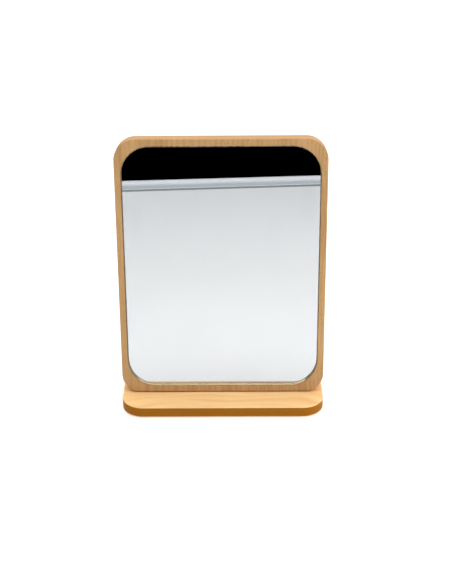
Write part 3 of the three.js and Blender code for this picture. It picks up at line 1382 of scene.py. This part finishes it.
    def _sleeve(self, name: str, lying: Matrix) -> Piece:
        """One friction sleeve.

        Args:
            name: the object's name.
            lying: from a frame with the pin along Z to the row frame.

        Returns:
            The object.
        """
        inner = self.pin_radius + self.clearance
        outer, half, ease = inner + self.sleeve_wall, self.middle_knuckle / 2, self.sleeve_ease
        end = [(outer, half - ease), (outer - ease, half), (inner + ease, half), (inner, half - ease)]
        return self._lathed(name, [(radius, -height) for radius, height in reversed(end)] + end, lying)

    def _lathed(self, name: str, profile: list[tuple[float, float]], lying: Matrix) -> Piece:
        """A shaded body of revolution.

        Args:
            name: the object's name.
            profile: its (radius, height) points.
            lying: where it goes.

        Returns:
            The object.
        """
        made = turned(name, profile, self.round_steps, lying)
        set_shading(made, lying)
        return made

    def _build_screws(self, zinc: Material) -> None:
        """Grows the screws of each body's leaves, turned to where the driver happened to leave them.

        Args:
            zinc: their material.
        """
        seat = Matrix.Translation((0, self.screw_reach, self.leaf_thickness - self.leaf_drop))
        for seed, (body, leaf) in enumerate(LEAVES.items()):
            screws = self.repeater.repeat(f"{leaf}_screws_zinc", CountersunkScrew().build(), zinc,
                                          (2, Vector((self.screw_spacing, 0, 0))),
                                          (2, Vector((2 * self.centre, 0, 0))), math.pi / 2, seed + 1)
            place = self._place(body) @ seat
            screws.data.transform(place)
            set_shading(screws, place)
            nodes = [f"{leaf}_screw_{side}_{i}" for side in SIDES for i in (1, 2)]
            stand_for(screws, body, "zinc_screw", *nodes)


# ---- studio


@dataclass(frozen=True)
class Softbox:
    """A rectangular soft light."""

    name: str
    at: tuple[float, float, float]
    aim: tuple[float, float, float]
    size: tuple[float, float]
    power: float

    def build(self) -> None:
        """Hangs the light."""
        lamp = bpy.data.lights.new(self.name, "AREA")
        lamp.shape = "RECTANGLE"
        lamp.size, lamp.size_y = self.size
        lamp.energy = self.power
        towards = Vector(self.aim) - Vector(self.at)
        turn = towards.to_track_quat("-Z", "Y").to_matrix().to_4x4()
        made = bpy.data.objects.new(self.name, lamp)
        made.matrix_world = Matrix.Translation(self.at) @ turn
        bpy.context.scene.collection.objects.link(made)


@dataclass(frozen=True)
class Studio:
    """A pale floor, soft lights, and what the mirror shows: the floor's far rail, then dark."""

    floor_half: float = 9
    floor_glow: float = 0.25
    floor_white: Colour = (0.88, 0.88, 0.88)
    dome: tuple[float, float] = (0.95, 0.9)  # its radius and height, as parts of floor_half
    dome_steps: int = 48
    rail_half: float = 6
    rail_steps: int = 32
    rail_distance: float = 1.74
    rail_radius: float = 11 * MM
    rail_turn: float = math.radians(-10.1)
    # Painted light and shade on the rail: the colour underneath, then the colour on top.
    rail_painted_shade: Colour = (0.63, 0.68, 0.72)
    rail_painted_highlight: Colour = (0.93, 0.95, 0.97)
    wall_height: float = 0.6
    painted_rail_shadow: float = 36 * MM  # depth of the painted shadow: a dark strip on the floor in front of the rail
    painted_rail_shadow_lift: float = 0.2 * MM
    painted_rail_shadow_grey: Colour = (0.30, 0.34, 0.34)
    card_half: float = 2
    card_foot: tuple[float, float] = (-3.2, 1)  # its lower edge's y and z
    card_head: tuple[float, float] = (-3.4, 2.5)
    card_cream: Colour = (1, 0.87, 0.66)
    card_glow: float = 2.2
    sky: float = 0.3
    softboxes: tuple[Softbox, ...] = (
        Softbox("front_overhead", (0, -0.5, 2.3), (0, -0.5, 0), (3.6, 3.4), 66),
        Softbox("back_overhead", (0, 2.6, 2.4), (0, 2.6, 0), (5, 3), 70),
        Softbox("right_side", (1.6, -0.35, 0.45), (0, 0, 0.1), (0.7, 0.7), 12))
    spot_at: tuple[float, float, float] = (0, -0.25, 1.8)
    spot_power: float = 18
    spot_angle: float = math.radians(26)
    spot_radius: float = 0.15

    def build(self) -> None:
        """Makes the floor, the backdrop, the rail, the dark beyond it and the lights."""
        s = self.floor_half
        self._panel("floor", [(-s, -s, 0), (s, -s, 0), (s, s, 0), (-s, s, 0)],
                    self._plain("floor_white", self.floor_white, self.floor_glow))
        self._backdrop()
        self._far_end()
        for softbox in self.softboxes:
            softbox.build()
        self._spot()
        self._sky()

    def _plain(self, name: str, colour: Colour, glow: float = 0, gloss: float = 0.5) -> Material:
        """A plain material for the studio's own surfaces."""
        return Surface(name, Base_Color=(*colour, 1), Roughness=0.6, Specular_IOR_Level=gloss,
                       Emission_Color=(*colour, 1), Emission_Strength=glow).material

    def _panel(self, name: str, corners: list[tuple[float, float, float]], finish: Material) -> Piece:
        """One flat four-sided surface.

        Args:
            name: the object's name.
            corners: its four corners, in order.
            finish: its material.

        Returns:
            The object.
        """
        mesh = bpy.data.meshes.new(name)
        mesh.from_pydata(corners, [], [(0, 1, 2, 3)])
        made = dress(new_object(name, mesh), finish)
        return made

    def _backdrop(self) -> None:
        """A white dome that only the camera sees."""
        wide, tall = (part * self.floor_half for part in self.dome)
        angles = [math.radians(degrees) for degrees in range(10, 101, 10)]
        profile = [(0, tall)] + [(wide * math.sin(a), tall * math.cos(a)) for a in angles]
        dome = turned("backdrop", profile, self.dome_steps)
        dress(dome, self._plain("backdrop_white", (1, 1, 1), glow=1))
        self._seen_only_by(dome, camera=True, mirrored=False)

    def _far_end(self) -> None:
        """What only reflections show: the rail with painted shading, a dark strip of painted shadow in
        front of it, the dark room beyond it and a cream card above.
        """
        turn = Matrix.Rotation(self.rail_turn, 4, "Z")
        half, r, far = self.rail_half, self.rail_radius, -self.rail_distance
        behind, front, level = far - r, far + r, self.painted_rail_shadow_lift
        wall = [(-half, behind, 0), (half, behind, 0),
                (half, behind, self.wall_height), (-half, behind, self.wall_height)]
        line = [(-half, front, level), (half, front, level),
                (half, front + self.painted_rail_shadow, level), (-half, front + self.painted_rail_shadow, level)]
        card = [(-self.card_half, *self.card_foot), (self.card_half, *self.card_foot),
                (self.card_half, *self.card_head), (-self.card_half, *self.card_head)]
        things = [
            self._rail(turn @ Matrix.Translation((0, far, r)) @ Matrix.Rotation(math.pi / 2, 4, "Y")),
            self._panel("dark_room", [turn @ Vector(corner) for corner in wall],
                        self._plain("dark", (0, 0, 0), gloss=0)),
            # A dark strip on the floor, standing in for the rail's shadow: painted shadow.
            self._panel("painted_rail_shadow_strip", [turn @ Vector(corner) for corner in line],
                        self._plain("painted_rail_shadow_grey", self.painted_rail_shadow_grey)),
            self._panel("far_card", card, self._plain("card_cream", self.card_cream, self.card_glow))]
        for thing in things:
            self._seen_only_by(thing, camera=False, mirrored=True)

    def _rail(self, place: Matrix) -> Piece:
        """The rail, a round bar with painted shading: lighter on top, greyer underneath.

        Args:
            place: where it lies.

        Returns:
            The object.
        """
        half, r = self.rail_half, self.rail_radius
        profile = [(0, -half), (r, -half), (r, half), (0, half)]
        rail = turned("far_rail", profile, self.rail_steps, place)
        for face in rail.data.polygons:
            face.use_smooth = True
        white = Surface("rail_white", Roughness=0.5)
        height = white.split(white.place(Matrix.Scale(0.5 / r, 4)))[2]
        # Painted shading: lighter towards the top of the rail, greyer underneath.
        white.drive("Base Color", white.blend(height.rise(0.3, 0.75), self.rail_painted_shade, self.rail_painted_highlight))
        return dress(rail, white.material)

    @staticmethod
    def _seen_only_by(thing: Piece, camera: bool, mirrored: bool) -> None:
        """Limits who sees a stage object, and takes its shadow away.

        Args:
            thing: the object.
            camera: whether the camera sees it.
            mirrored: whether reflections and glass show it.
        """
        thing.visible_camera = camera
        thing.visible_glossy = thing.visible_transmission = mirrored
        thing.visible_diffuse = thing.visible_shadow = False

    def _spot(self) -> None:
        """The light overhead that shines down on the mirror."""
        lamp = bpy.data.lights.new("down_light", "SPOT")
        lamp.energy = self.spot_power
        lamp.spot_size = self.spot_angle
        lamp.spot_blend = 1
        lamp.shadow_soft_size = self.spot_radius
        made = bpy.data.objects.new("down_light", lamp)
        made.location = self.spot_at
        bpy.context.scene.collection.objects.link(made)

    def _sky(self) -> None:
        """The room's even light."""
        world = bpy.data.worlds.new("room")
        world.use_nodes = True
        background = world.node_tree.nodes["Background"]
        background.inputs["Color"].default_value = (1, 1, 1, 1)
        background.inputs["Strength"].default_value = self.sky
        bpy.context.scene.world = world


@dataclass(frozen=True)
class Camera:
    """The camera: in front, above, looking down at the mirror."""

    at: tuple[float, float, float] = (14.9 * MM, -1081.9 * MM, 690.4 * MM)
    pitch: float = math.radians(-27.36)
    yaw: float = math.radians(0.56)
    roll: float = math.radians(-0.49)
    lens_mm: float = 68.77

    def build(self) -> None:
        """Makes the scene's camera."""
        data = bpy.data.cameras.new("camera")
        data.lens = self.lens_mm
        camera = bpy.data.objects.new("camera", data)
        camera.matrix_world = (Matrix.Translation(self.at) @ Matrix.Rotation(self.yaw, 4, "Z")
                               @ Matrix.Rotation(math.pi / 2 + self.pitch, 4, "X")
                               @ Matrix.Rotation(self.roll, 4, "Z"))
        scene = bpy.context.scene
        scene.collection.objects.link(camera)
        scene.camera = camera
        scene.view_settings.view_transform = "Standard"


def main() -> None:
    """Builds the mirror in order, from the base up, then the studio and the camera."""
    logging.basicConfig(level=logging.INFO, format="%(name)s: %(message)s")
    tilt = Tilt(Vector(frame["joints"][0]["pos_m"]))
    trees = PlateGrower(), Repeater()
    BaseBoard(*trees).build()
    UprightBoard(*trees, tilt.board_place()).build()
    Hinges(*trees, tilt).build()
    Studio().build()
    Camera().build()


if __name__ == "__main__":
    main()
